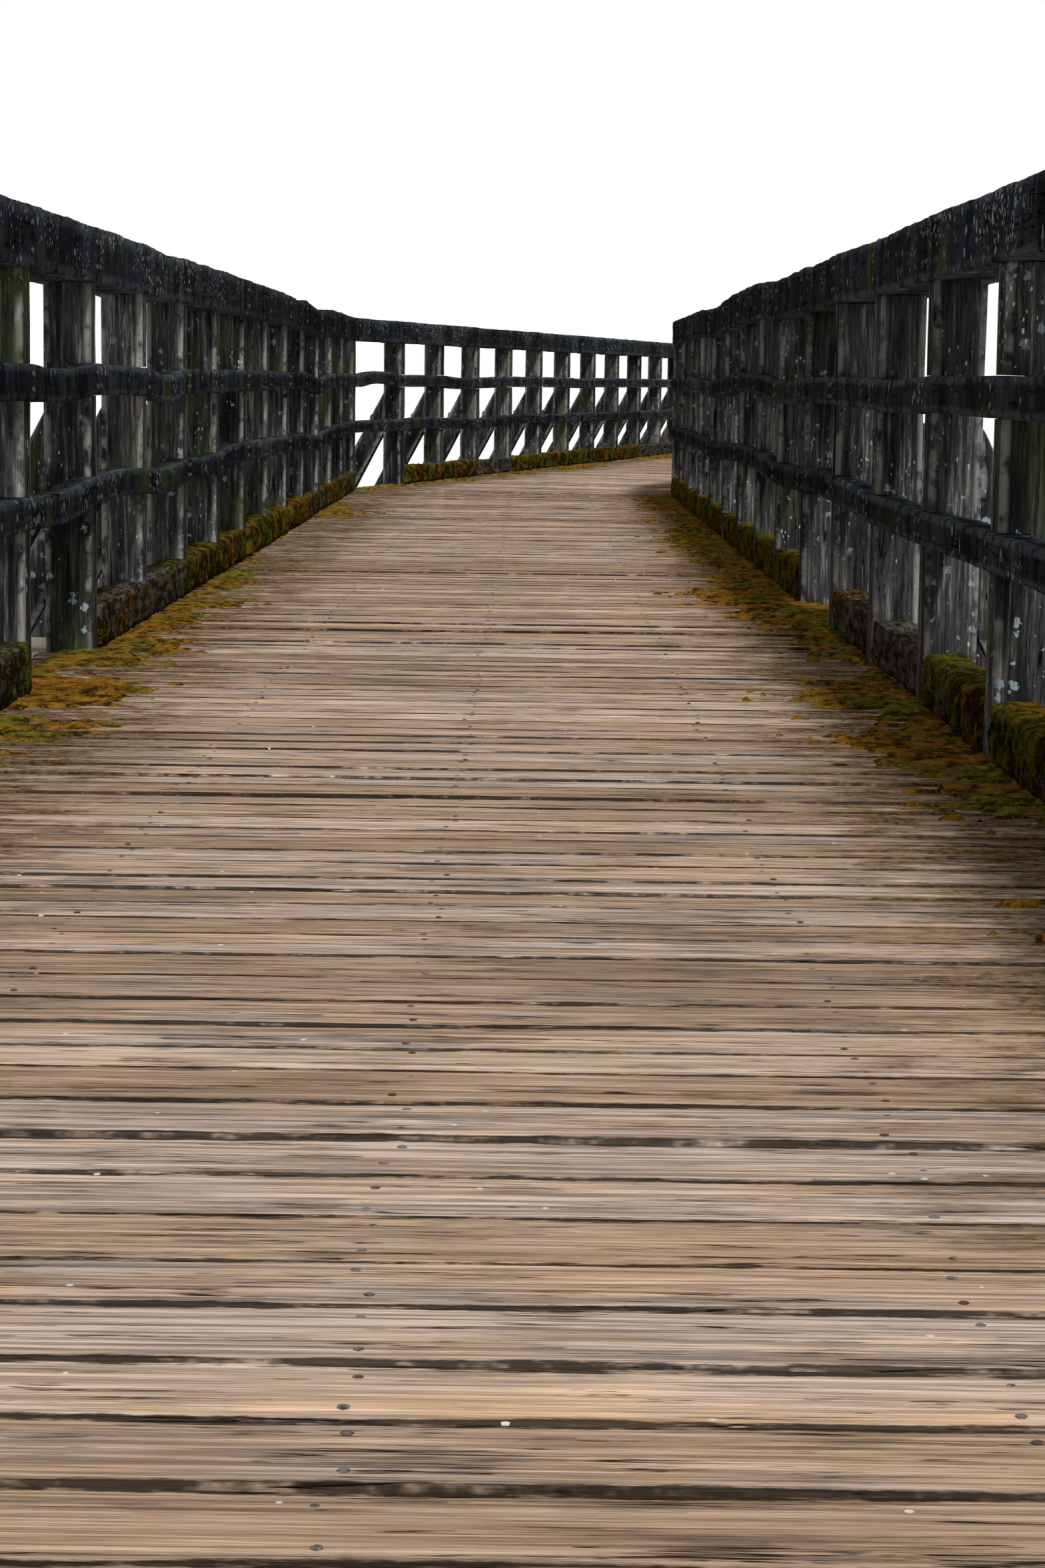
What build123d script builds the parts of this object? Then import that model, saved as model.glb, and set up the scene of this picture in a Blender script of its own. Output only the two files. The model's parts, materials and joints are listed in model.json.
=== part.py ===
"""A timber footbridge with a bend, its railings and the trestle bents that carry it."""
import os
from math import cos, radians, sin, tan

from build123d import *

# Lengths are in millimetres. X points right, Y along the first stretch and Z up.
# The origin is the middle of the underside of the first sill.

# Layout: posts are numbered from the near end, and a bay has the number of the post where it starts
BAY = 1060
BAYS_PER_SPAN = 6
NEAR_SPANS = 3
FAR_SPANS = 2
BEND_ANGLE = 13
CLEAR_WIDTH = 2050
DECK_LEVEL = 1700
BUTT_GAP = 6

# Deck, joists, cross-beams and girders
PLANK_THICKNESS = 50
DECK_BEYOND_POST = 20
DECK_BEYOND_END = 110
POST_HOLE_CLEARANCE = 2
JOIST_WIDTH = 80
JOIST_HEIGHT = 100
JOIST_ROWS = 5
JOIST_INSIDE_POST = 10
CROSS_BEAM_WIDTH = 120
CROSS_BEAM_HEIGHT = 140
CROSS_BEAM_BEYOND_BRACE = 50
GIRDER_WIDTH = 180
GIRDER_HEIGHT = 300
GIRDER_ROWS = 3
GIRDER_SPACING = 800
GIRDER_BEYOND_END = 180

# Trestle bents
CAP_LENGTH = 2600
CAP_WIDTH = 260
CAP_HEIGHT = 220
SILL_LENGTH = 3000
SILL_WIDTH = 280
SILL_HEIGHT = 180
BENT_POST_SIZE = 200
BENT_POST_SPACING = 1000
SWAY_BRACE_WIDTH = 140
SWAY_BRACE_THICKNESS = 50
SWAY_BRACE_OVERLAP = 60

# Railing posts and their raking braces
POST_ACROSS = 120
POST_ALONG = 110
BRACE_TIP_LEVEL = 630
BRACE_CONTACT = 270
BRACE_THICKNESS = 76
BRACE_RAKE = 28.5

# Rails, with levels above the deck
TOP_RAIL_UNDERSIDE = 957
TOP_RAIL_HEIGHT = 142
TOP_RAIL_WIDTH = 178
MID_RAIL_UNDERSIDE = 661
MID_RAIL_HEIGHT = 81
LOWER_RAIL_UNDERSIDE = 365
LOWER_RAIL_HEIGHT = 76
RAIL_WIDTH = 70
RAIL_PROUD = 14
NOTCH_CLEARANCE = 1
RAIL_BEYOND_END = 100

# Kerbs: those on the left pass in front of the posts, and those on the right lie between them
KERB_HEIGHT = 112
KERB_WIDTH = 100
KERB_END_GAP = 8
KERB_EDGE = 12
KERB_PROUD_LEFT = 14
KERB_PROUD_RIGHT = 0
KERB_BAYS_LEFT = 2
KERB_BAYS_RIGHT = 1

# What age and repairs have done, by post or bay: posts that sank, rails set low or high on a post,
# rails that sag or rise between posts, kerbs that are gone, cut short, or butted in front of a post
SUNK_LEFT = {15: 30}
SUNK_RIGHT = {7: 5, 10: 8, 11: -15, 12: -14, 14: 15}
MID_LOW_LEFT = {7: -6, 21: 11}
MID_LOW_RIGHT = {12: -8}
LOWER_LOW_LEFT = {7: -13, 8: -6, 9: -6, 11: -18, 12: -12, 21: 15}
LOWER_LOW_RIGHT = {6: 5, 8: -12}
TOP_SAG_LEFT = {8: 8, 13: 10}
TOP_SAG_RIGHT = {8: 6, 13: 8}
MID_SAG_LEFT = {6: 12, 8: 21, 18: -20, 20: 10, 24: 8}
MID_SAG_RIGHT = {6: 6, 9: 8}
LOWER_SAG_LEFT = {6: 12, 7: -8, 8: 17, 9: 8, 10: -8, 14: 12, 19: -8, 22: -10}
LOWER_SAG_RIGHT = {8: -12, 13: 10}
LOST_KERBS_LEFT = {6, 18}
LOST_KERBS_RIGHT = {8}
CUT_KERBS_LEFT = {22}
CUT_KERBS_RIGHT = set()
BUTTED_KERBS_LEFT = {9, 23}
BUTTED_KERBS_RIGHT = set()

# Worked out from the sizes above
BEND_POST = NEAR_SPANS * BAYS_PER_SPAN
LAST_POST = BEND_POST + FAR_SPANS * BAYS_PER_SPAN
TURN = radians(BEND_ANGLE)
LEFT = -1
RIGHT = 1
CROSS_BEAM_TOP = DECK_LEVEL - PLANK_THICKNESS - JOIST_HEIGHT
GIRDER_TOP = CROSS_BEAM_TOP - CROSS_BEAM_HEIGHT
CAP_TOP = GIRDER_TOP - GIRDER_HEIGHT
BENT_POST_TOP = CAP_TOP - CAP_HEIGHT
NOTCH_DEPTH = RAIL_WIDTH - RAIL_PROUD
BRACE_REACH = (DECK_LEVEL + BRACE_TIP_LEVEL - CROSS_BEAM_TOP) * tan(radians(BRACE_RAKE))
BRACE_HEEL = BRACE_REACH - BRACE_CONTACT * tan(radians(BRACE_RAKE))
OUTER_POST_FACE = CLEAR_WIDTH / 2 + POST_ACROSS
DECK_WIDTH = 2 * (OUTER_POST_FACE + DECK_BEYOND_POST)
CROSS_BEAM_LENGTH = 2 * (OUTER_POST_FACE + BRACE_REACH + CROSS_BEAM_BEYOND_BRACE)
OUTER_JOIST = CLEAR_WIDTH / 2 - JOIST_INSIDE_POST - JOIST_WIDTH / 2

# Each stretch is drawn square to its own frame, and both end on the mitre through the bend
bend_point = (0, BEND_POST * BAY, 0)
near_frame = Plane.XY
far_frame = Plane(origin=bend_point, x_dir=(cos(TURN), -sin(TURN), 0), z_dir=(0, 0, 1))
bend_frame = Plane(origin=bend_point, x_dir=(cos(TURN / 2), -sin(TURN / 2), 0), z_dir=(0, 0, 1))
near_mitre = Plane(
    origin=bend_frame.from_local_coords((0, -BUTT_GAP / 2, 0)), x_dir=bend_frame.x_dir, z_dir=bend_frame.y_dir
)
far_mitre = Plane(
    origin=bend_frame.from_local_coords((0, BUTT_GAP / 2, 0)), x_dir=bend_frame.x_dir, z_dir=bend_frame.y_dir
)
PAST_MITRE = DECK_WIDTH * tan(TURN / 2)

near_posts = range(0, BEND_POST)
far_posts = range(BEND_POST, LAST_POST + 1)
near_bays = range(0, BEND_POST)
far_bays = range(BEND_POST, LAST_POST)
near_bents = range(0, BEND_POST, BAYS_PER_SPAN)
far_bents = range(BEND_POST, LAST_POST + 1, BAYS_PER_SPAN)


def stretch_of(bay):
    """The frame of the stretch that a bay belongs to, and how far along it the bay starts."""
    if bay < BEND_POST:
        return near_frame, bay * BAY
    return far_frame, (bay - BEND_POST) * BAY


def station_frame(post):
    """The frame at a pair of posts, level with the ground: the pair at the bend stands on the mitre."""
    if post == BEND_POST:
        return bend_frame
    frame, along = stretch_of(post)
    return Plane(origin=frame.from_local_coords((0, along, 0)), x_dir=frame.x_dir, z_dir=(0, 0, 1))


def cross_section(post):
    """A drawing plane across the bridge at a pair of posts: its x points right and its y up."""
    frame = station_frame(post)
    return Plane(origin=frame.origin, x_dir=frame.x_dir, z_dir=-frame.y_dir)


def elevation(frame, across):
    """A drawing plane along a stretch: its x points along it, its y up, and its normal right."""
    return Plane(origin=frame.from_local_coords((across, 0, 0)), x_dir=frame.y_dir, z_dir=frame.x_dir)


def half_clear(post):
    """From the middle of the walkway to a post's inner face, measured along the post's own section."""
    if post == BEND_POST:
        return CLEAR_WIDTH / 2 / cos(TURN / 2)
    return CLEAR_WIDTH / 2


def notch_depth(post, side):
    """How deep a post is cut for a rail: at the bend the two rails meet in it at an angle."""
    if post != BEND_POST:
        return NOTCH_DEPTH
    depth = (CLEAR_WIDTH / 2 + NOTCH_DEPTH) / cos(TURN / 2) - half_clear(post)
    if side == RIGHT:
        depth += POST_ALONG / 2 * tan(TURN / 2)
    return depth


def trim_at_bend(bays, keep_near, keep_far):
    """Which side of which mitre a run of bays keeps, as a plane and a side, or nothing."""
    if bays[-1] + 1 == BEND_POST:
        return near_mitre, keep_near
    if bays[0] == BEND_POST:
        return far_mitre, keep_far
    return None, None


def run_ends(bays, beyond_end):
    """Where a run of bays starts and ends along its stretch: past the mitre, past the end, or at a butt."""
    start = stretch_of(bays[0])[1] + BUTT_GAP / 2
    end = stretch_of(bays[-1])[1] + BAY - BUTT_GAP / 2
    if bays[0] == 0:
        start = -beyond_end
    if bays[0] == BEND_POST:
        start = -PAST_MITRE
    if bays[-1] + 1 == BEND_POST:
        end = BEND_POST * BAY + PAST_MITRE
    if bays[-1] + 1 == LAST_POST:
        end = stretch_of(bays[-1])[1] + BAY + beyond_end
    return start, end


def spans(bays):
    """A run of bays cut into spans from bent to bent."""
    return [bays[i : i + BAYS_PER_SPAN] for i in range(0, len(bays), BAYS_PER_SPAN)]


def long_timbers(bays, rows, width, bottom, height, beyond_end):
    """Straight timbers along a stretch, one for each row and span, cut to the mitre at the bend."""
    with BuildPart() as timbers:
        for span in spans(bays):
            frame, _ = stretch_of(span[0])
            start, end = run_ends(span, beyond_end)
            with BuildSketch(frame.offset(bottom)):
                with Locations([(row, (start + end) / 2) for row in rows]):
                    Rectangle(width, end - start)
            extrude(amount=height)
        cut, keep = trim_at_bend(bays, Keep.BOTTOM, Keep.TOP)
        split(bisect_by=cut, keep=keep)
    return timbers


def deck_of_span(span):
    """The planking of one span, let in round its posts."""
    frame, _ = stretch_of(span[0])
    start, end = run_ends(span, DECK_BEYOND_END)
    hole_across = POST_ACROSS + DECK_BEYOND_POST + POST_HOLE_CLEARANCE
    hole_along = POST_ALONG + 2 * POST_HOLE_CLEARANCE
    with BuildPart() as deck:
        with BuildSketch(frame.offset(DECK_LEVEL - PLANK_THICKNESS)):
            with Locations((0, (start + end) / 2)):
                Rectangle(DECK_WIDTH, end - start)
        extrude(amount=PLANK_THICKNESS)
        cut, keep = trim_at_bend(span, Keep.BOTTOM, Keep.TOP)
        if cut:
            split(bisect_by=cut, keep=keep)
        for post in range(span[0], span[-1] + 2):
            inner = half_clear(post) - POST_HOLE_CLEARANCE
            with BuildSketch(station_frame(post).offset(DECK_LEVEL - PLANK_THICKNESS)):
                with Locations((inner, 0)):
                    Rectangle(2 * hole_across, hole_along, align=(Align.MIN, Align.CENTER))
                with Locations((-inner, 0)):
                    Rectangle(2 * hole_across, hole_along, align=(Align.MAX, Align.CENTER))
            extrude(amount=PLANK_THICKNESS, mode=Mode.SUBTRACT)
    return deck


def cross_beams_at(posts):
    """The cross-beams under the joists, which reach out to carry the raking braces."""
    with BuildPart() as beams:
        for post in posts:
            with BuildSketch(station_frame(post).offset(GIRDER_TOP)):
                Rectangle(CROSS_BEAM_LENGTH, CROSS_BEAM_WIDTH)
        extrude(amount=CROSS_BEAM_HEIGHT)
    return beams


def bent_beams_at(bents, length, width, bottom, height):
    """One level beam across the bridge at each bent."""
    with BuildPart() as beams:
        for bent in bents:
            with BuildSketch(station_frame(bent).offset(bottom)):
                Rectangle(length, width)
        extrude(amount=height)
    return beams


def bent_posts_at(bents):
    """Three square posts between the sill and the cap of each bent."""
    with BuildPart() as posts:
        for bent in bents:
            with BuildSketch(station_frame(bent).offset(SILL_HEIGHT)):
                with Locations([(row * BENT_POST_SPACING, 0) for row in (LEFT, 0, RIGHT)]):
                    Rectangle(BENT_POST_SIZE, BENT_POST_SIZE)
        extrude(amount=BENT_POST_TOP - SILL_HEIGHT)
    return posts


def sway_braces_at(bents):
    """Two boards that cross each bent from corner to corner, one on each face of its posts."""
    foot = (-BENT_POST_SPACING - SWAY_BRACE_OVERLAP, SILL_HEIGHT + SWAY_BRACE_WIDTH / 2)
    head = (BENT_POST_SPACING + SWAY_BRACE_OVERLAP, BENT_POST_TOP - SWAY_BRACE_WIDTH / 2)
    with BuildPart() as braces:
        for bent in bents:
            section = cross_section(bent)
            for face in (LEFT, RIGHT):
                back = section.offset(face * (BENT_POST_SIZE + SWAY_BRACE_THICKNESS) / 2)
                with BuildSketch(back):
                    with BuildLine():
                        Polyline(
                            (face * foot[0], foot[1] - SWAY_BRACE_WIDTH / 2),
                            (face * head[0], head[1] - SWAY_BRACE_WIDTH / 2),
                            (face * head[0], head[1] + SWAY_BRACE_WIDTH / 2),
                            (face * foot[0], foot[1] + SWAY_BRACE_WIDTH / 2),
                            close=True,
                        )
                    make_face()
        extrude(amount=SWAY_BRACE_THICKNESS / 2, both=True)
    return braces


def railing_posts(posts, side, sunk, mid_low, lower_low):
    """Railing posts that stand on the cross-beams, notched on the inside for the two lower rails."""
    rails = (
        (MID_RAIL_UNDERSIDE, MID_RAIL_HEIGHT, mid_low),
        (LOWER_RAIL_UNDERSIDE, LOWER_RAIL_HEIGHT, lower_low),
    )
    inward = Align.MIN if side == RIGHT else Align.MAX
    with BuildPart() as railing:
        for post in posts:
            drop = sunk.get(post, 0)
            face = side * half_clear(post)
            depth = notch_depth(post, side)
            with BuildSketch(cross_section(post)):
                with Locations((face, CROSS_BEAM_TOP)):
                    Rectangle(
                        POST_ACROSS,
                        DECK_LEVEL + TOP_RAIL_UNDERSIDE - drop - CROSS_BEAM_TOP,
                        align=(inward, Align.MIN),
                    )
                for underside, height, low in rails:
                    notch = DECK_LEVEL + underside - drop - low.get(post, 0) - NOTCH_CLEARANCE
                    with Locations((face, notch)):
                        Rectangle(
                            depth,
                            height + 2 * NOTCH_CLEARANCE,
                            align=(inward, Align.MIN),
                            mode=Mode.SUBTRACT,
                        )
        extrude(amount=POST_ALONG / 2, both=True)
    return railing


def raking_braces(posts, side):
    """Braces cut to lie against the outer face of each post and to stand on its cross-beam."""
    tip = DECK_LEVEL + BRACE_TIP_LEVEL
    with BuildPart() as braces:
        for post in posts:
            face = half_clear(post) + POST_ACROSS
            with BuildSketch(cross_section(post)):
                with BuildLine():
                    Polyline(
                        (side * face, tip),
                        (side * face, tip - BRACE_CONTACT),
                        (side * (face + BRACE_HEEL), CROSS_BEAM_TOP),
                        (side * (face + BRACE_REACH), CROSS_BEAM_TOP),
                        close=True,
                    )
                make_face()
        extrude(amount=BRACE_THICKNESS / 2, both=True)
    return braces


def bowed_edge(start, end, sag):
    """One edge of a rail between two posts: a shallow arc, or a line where it has stayed straight."""
    if sag == 0:
        return Line(start, end)
    middle = ((start[0] + end[0]) / 2, (start[1] + end[1]) / 2 - sag)
    return ThreePointArc(start, middle, end)


def rail_lengths(bays, first_joint):
    """A run of bays shared out over lengths of timber with a butt joint at every second post."""
    joints = [post for post in range(first_joint, bays[-1] + 1, 2) if post > bays[0]]
    ends = [bays[0], *joints, bays[-1] + 1]
    return [range(start, end) for start, end in zip(ends, ends[1:])]


def rail_along(bays, first_joint, near_face, width, underside, height, sags, sunk, low):
    """One line of rail in butted lengths, level across each post and bowed in between."""
    frame, _ = stretch_of(bays[0])
    drop = {post: sunk.get(post, 0) + low.get(post, 0) for post in range(bays[0], bays[-1] + 2)}
    with BuildPart() as rail:
        for length in rail_lengths(bays, first_joint):
            start, end = run_ends(length, RAIL_BEYOND_END)
            corners = []
            with BuildSketch(elevation(frame, near_face)):
                with BuildLine():
                    for edge in (DECK_LEVEL + underside, DECK_LEVEL + underside + height):
                        here = (start, edge - drop[length[0]])
                        corners.append(here)
                        for bay in length:
                            along = stretch_of(bay)[1]
                            leave = (along + POST_ALONG / 2, edge - drop[bay])
                            reach = (along + BAY - POST_ALONG / 2, edge - drop[bay + 1])
                            Line(here, leave)
                            bowed_edge(leave, reach, sags.get(bay, 0))
                            here = reach
                        corners.append((end, here[1]))
                        Line(here, corners[-1])
                    Line(corners[0], corners[2])
                    Line(corners[1], corners[3])
                make_face()
        extrude(amount=width)
        cut, keep = trim_at_bend(bays, Keep.BOTTOM, Keep.TOP)
        split(bisect_by=cut, keep=keep)
    return rail


def kerb_lengths(bays, first_joint, bays_each, cut, lost):
    """The bays that each kerb timber runs over, between its joints and the bays that lost theirs."""
    lengths = []
    for bay in bays:
        if bay in lost:
            continue
        at_joint = (bay - first_joint) % bays_each == 0 or bay in cut
        if not lengths or at_joint or bay - 1 not in lengths[-1]:
            lengths.append([])
        lengths[-1].append(bay)
    return lengths


def kerb_end(post, butted):
    """How far from a post's middle a kerb ends: short of the post, or butted in front of its middle."""
    if post in butted:
        return BUTT_GAP / 2
    return POST_ALONG / 2 + KERB_END_GAP


def kerbs_along(bays, side, proud, lengths, butted):
    """Kerb timbers that lie on the deck, let in round the posts, with their top edges worn off."""
    inner = side * (CLEAR_WIDTH / 2 - proud)
    outer = inner + side * KERB_WIDTH
    top = DECK_LEVEL + KERB_HEIGHT
    frame, _ = stretch_of(bays[0])
    notches = []
    with BuildPart() as kerbs:
        for length in lengths:
            first, last = length[0], length[-1] + 1
            start = stretch_of(first)[1] + kerb_end(first, butted)
            end = stretch_of(last - 1)[1] + BAY - kerb_end(last, butted)
            shift = side * CLEAR_WIDTH / 2 * tan(TURN / 2)
            if first == BEND_POST:
                start += shift + KERB_END_GAP
            if last == BEND_POST:
                end -= shift + KERB_END_GAP
            begin = Plane(
                origin=frame.from_local_coords((0, start, 0)), x_dir=frame.x_dir, z_dir=-frame.y_dir
            )
            with BuildSketch(begin):
                with BuildLine():
                    Polyline(
                        (inner, DECK_LEVEL),
                        (inner, top - KERB_EDGE),
                        (inner + side * KERB_EDGE, top),
                        (outer - side * KERB_EDGE, top),
                        (outer, top - KERB_EDGE),
                        (outer, DECK_LEVEL),
                        close=True,
                    )
                make_face()
            extrude(amount=-(end - start))
            notches += [post for post in range(first, last + 1) if first < post < last or post in butted]
        if notches:
            with BuildSketch(frame.offset(DECK_LEVEL)):
                for post in notches:
                    with Locations((side * (CLEAR_WIDTH / 2 - POST_HOLE_CLEARANCE), stretch_of(post)[1])):
                        Rectangle(
                            2 * KERB_WIDTH,
                            POST_ALONG + 2 * POST_HOLE_CLEARANCE,
                            align=(Align.MIN if side == RIGHT else Align.MAX, Align.CENTER),
                        )
            extrude(amount=KERB_HEIGHT, mode=Mode.SUBTRACT)
    return kerbs


girder_rows = [(row - (GIRDER_ROWS - 1) / 2) * GIRDER_SPACING for row in range(GIRDER_ROWS)]
joist_rows = [OUTER_JOIST * (2 * row / (JOIST_ROWS - 1) - 1) for row in range(JOIST_ROWS)]
joist_bottom = DECK_LEVEL - PLANK_THICKNESS - JOIST_HEIGHT
girder_bottom = GIRDER_TOP - GIRDER_HEIGHT

pieces = {}

# The trestle bents and what spans between them, stretch by stretch
for stretch, bays, posts, bents in (
    ("near", near_bays, near_posts, near_bents),
    ("far", far_bays, far_posts, far_bents),
):
    pieces[f"{stretch}_sills"] = bent_beams_at(bents, SILL_LENGTH, SILL_WIDTH, 0, SILL_HEIGHT)
    pieces[f"{stretch}_bent_posts"] = bent_posts_at(bents)
    pieces[f"{stretch}_bent_caps"] = bent_beams_at(bents, CAP_LENGTH, CAP_WIDTH, BENT_POST_TOP, CAP_HEIGHT)
    pieces[f"{stretch}_sway_braces"] = sway_braces_at(bents)
    pieces[f"{stretch}_girders"] = long_timbers(
        bays, girder_rows, GIRDER_WIDTH, girder_bottom, GIRDER_HEIGHT, GIRDER_BEYOND_END
    )
    pieces[f"{stretch}_cross_beams"] = cross_beams_at(posts)
    pieces[f"{stretch}_joists"] = long_timbers(
        bays, joist_rows, JOIST_WIDTH, joist_bottom, JOIST_HEIGHT, DECK_BEYOND_END
    )

# The deck, one node for each span
for number, span in enumerate(spans(near_bays) + spans(far_bays), start=1):
    pieces[f"deck_span_{number}"] = deck_of_span(span)

# The railings and kerbs, for each stretch and side
for stretch, bays, posts in (("near", near_bays, near_posts), ("far", far_bays, far_posts)):
    for name, side, first_joint, sunk, mid_low, lower_low, top_sag, mid_sag, lower_sag in (
        ("left", LEFT, 1, SUNK_LEFT, MID_LOW_LEFT, LOWER_LOW_LEFT, TOP_SAG_LEFT, MID_SAG_LEFT, LOWER_SAG_LEFT),
        (
            "right",
            RIGHT,
            2,
            SUNK_RIGHT,
            MID_LOW_RIGHT,
            LOWER_LOW_RIGHT,
            TOP_SAG_RIGHT,
            MID_SAG_RIGHT,
            LOWER_SAG_RIGHT,
        ),
    ):
        inner = CLEAR_WIDTH / 2 - RAIL_PROUD
        lower_face = inner if side == RIGHT else -inner - RAIL_WIDTH
        top_face = inner if side == RIGHT else -inner - TOP_RAIL_WIDTH
        pieces[f"{stretch}_{name}_posts"] = railing_posts(posts, side, sunk, mid_low, lower_low)
        pieces[f"{stretch}_{name}_braces"] = raking_braces(posts, side)
        for rail, face, width, underside, height, sags, low in (
            ("top_rail", top_face, TOP_RAIL_WIDTH, TOP_RAIL_UNDERSIDE, TOP_RAIL_HEIGHT, top_sag, {}),
            ("mid_rail", lower_face, RAIL_WIDTH, MID_RAIL_UNDERSIDE, MID_RAIL_HEIGHT, mid_sag, mid_low),
            (
                "lower_rail",
                lower_face,
                RAIL_WIDTH,
                LOWER_RAIL_UNDERSIDE,
                LOWER_RAIL_HEIGHT,
                lower_sag,
                lower_low,
            ),
        ):
            pieces[f"{stretch}_{name}_{rail}"] = rail_along(
                bays, first_joint, face, width, underside, height, sags, sunk, low
            )
    for name, side, proud, first_joint, bays_each, cut, lost, butted in (
        ("left", LEFT, KERB_PROUD_LEFT, 1, KERB_BAYS_LEFT, CUT_KERBS_LEFT, LOST_KERBS_LEFT, BUTTED_KERBS_LEFT),
        (
            "right",
            RIGHT,
            KERB_PROUD_RIGHT,
            0,
            KERB_BAYS_RIGHT,
            CUT_KERBS_RIGHT,
            LOST_KERBS_RIGHT,
            BUTTED_KERBS_RIGHT,
        ),
    ):
        lengths = kerb_lengths(bays, first_joint, bays_each, cut, lost)
        pieces[f"{stretch}_{name}_kerbs"] = kerbs_along(bays, side, proud, lengths, butted)

os.makedirs("parts", exist_ok=True)
for name, piece in pieces.items():
    piece.part.label = name
    export_step(piece.part, f"parts/{name}.step")
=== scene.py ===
import json
import math
import random
from functools import partial

import bpy
import numpy as np
from mathutils import Euler, Matrix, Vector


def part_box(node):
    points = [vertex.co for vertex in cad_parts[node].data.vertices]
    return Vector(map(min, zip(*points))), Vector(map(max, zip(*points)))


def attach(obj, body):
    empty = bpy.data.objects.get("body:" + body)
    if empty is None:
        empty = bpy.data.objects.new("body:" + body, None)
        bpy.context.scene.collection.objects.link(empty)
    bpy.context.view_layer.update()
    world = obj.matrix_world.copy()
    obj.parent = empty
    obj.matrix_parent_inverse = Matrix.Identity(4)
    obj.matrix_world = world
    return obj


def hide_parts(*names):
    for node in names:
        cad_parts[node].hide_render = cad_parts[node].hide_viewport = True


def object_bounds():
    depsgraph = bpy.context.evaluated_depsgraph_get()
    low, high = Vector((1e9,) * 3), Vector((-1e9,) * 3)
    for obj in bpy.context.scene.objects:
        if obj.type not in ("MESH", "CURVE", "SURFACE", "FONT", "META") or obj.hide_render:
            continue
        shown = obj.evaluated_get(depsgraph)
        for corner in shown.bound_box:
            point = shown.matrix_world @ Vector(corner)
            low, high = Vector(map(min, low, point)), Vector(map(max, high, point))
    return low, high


# Lengths are in metres. Every timber is worked out from the solids of the frame that it stands for.

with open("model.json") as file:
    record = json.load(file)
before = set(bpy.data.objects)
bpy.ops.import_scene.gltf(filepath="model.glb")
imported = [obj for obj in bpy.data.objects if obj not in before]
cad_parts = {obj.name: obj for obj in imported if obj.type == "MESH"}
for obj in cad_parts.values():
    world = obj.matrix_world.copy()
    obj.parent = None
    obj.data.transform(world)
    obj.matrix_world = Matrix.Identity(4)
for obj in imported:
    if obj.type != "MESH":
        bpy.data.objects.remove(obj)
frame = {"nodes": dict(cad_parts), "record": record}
cad_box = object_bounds()

# The camera, found from the photograph's horizon, vanishing point and rail lines
EYE_ACROSS = 0.1255
EYE_ALONG = -0.6242
EYE_ABOVE_DECK = 0.723
LENS = 70
SENSOR = 36
LOOK_DOWN = 7.561
LOOK_LEFT = 0.088
ROLL = 0.773
NEAR_CLIP = 0.05
FAR_CLIP = 500

# Light and floor
SUN_STRENGTH = 3.5
SUN_SIZE = 6
SUN_TILT = 50
SUN_TURN = 10
SKY_LIGHT = 0.5
BACKGROUND_WHITE = 1.0
FLOOR_SIZE = 400
FLOOR_COLOUR = (0.86, 0.86, 0.85, 1)

# How places on the solids are read
SAME_FACE = 0.002
SAME_PLACE = 0.0005
SAME_STATION = 0.0001
LEAST_DEPTH = 0.001
LEAST_LENGTH = 1e-6
NEAR_MITRE = 0.2
MOST_BENDS = 60

# Deck boards
BOARD_NARROW = 0.108
BOARD_WIDE = 0.146
BOARD_GAP = 0.0026
WIDE_GAP = 0.010
WIDE_GAP_SHARE = 0.13
BOARD_TOP_DROP = 0.003
BOARD_BOTTOM_DROP = 0.004
BOARD_HEIGHTS = (-0.0025, 0.002)
BOARD_STEP = 0.16
MITRED_BOARD_STEP = 0.03
BOARD_EDGE = 0.006
BOARD_END_WANDER = 0.016
BOARD_SKEW = 0.002
BOARD_TILT = 0.0016
LAST_BOARD = 0.03
NARROWEST_BOARD = 0.008
MITRED_END = 0.4
PAST_MITRE = 0.3
POST_HOLE = 0.003
NOTCH_EDGE = 0.0006
BOARD_SHAPE = {"bevel": 0.0045, "wear": 0.0016, "grain": (1.8, 55, 8), "cup": 0.0018}

# Kerbs
KERB_STEP = 0.016
KERB_EDGE = 0.012
KERB_NOTCH = (0.003, 0.02)

# Moss on the deck beside the kerbs
MOSS_CELL = 0.015
MOSS_REACH = 0.52
MOSS_BEHIND = 0.09
MOSS_THICK = 0.011
MOSS_BED = 0.007
MOSS_RIM = 0.009
MOSS_COAT = 0.015
MOSS_FROM_BEND = 0.03
MOSS_FROM_END = 0.02
MOSS_WANDER = 0.003

# Nails, screws and bolts
NAIL_RADIUS = 0.0048
NAIL_HEIGHT = 0.0014
NAIL_SUNK = 0.0012
NAIL_SHARES = (0.22, 0.78)
NAIL_WANDER = 0.012
NAIL_FROM_END = 0.03
SCREW_RADIUS = 0.008
SCREW_HEIGHT = 0.004
SCREW_SHARES = (0.28, 0.72)
SCREW_FROM_BUTT = 0.028
SCREW_SUNK = 0.001
BUTT_AT_POST = 0.02
BOLT_RADIUS = 0.017
BOLT_HEIGHT = 0.012
BOLT_ABOVE_FOOT = 0.06
BOLT_UP_TIP = 0.35


class Stretch:
    """A straight stretch of the bridge with its own across, along and up."""

    def __init__(self, origin, along):
        along = along / np.linalg.norm(along)
        self.origin = origin
        self.axes = np.array([[along[1], -along[0], 0], [along[0], along[1], 0], [0, 0, 1]])

    def local(self, points):
        return (points - self.origin) @ self.axes.T

    def world(self, points):
        return points @ self.axes + self.origin


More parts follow.
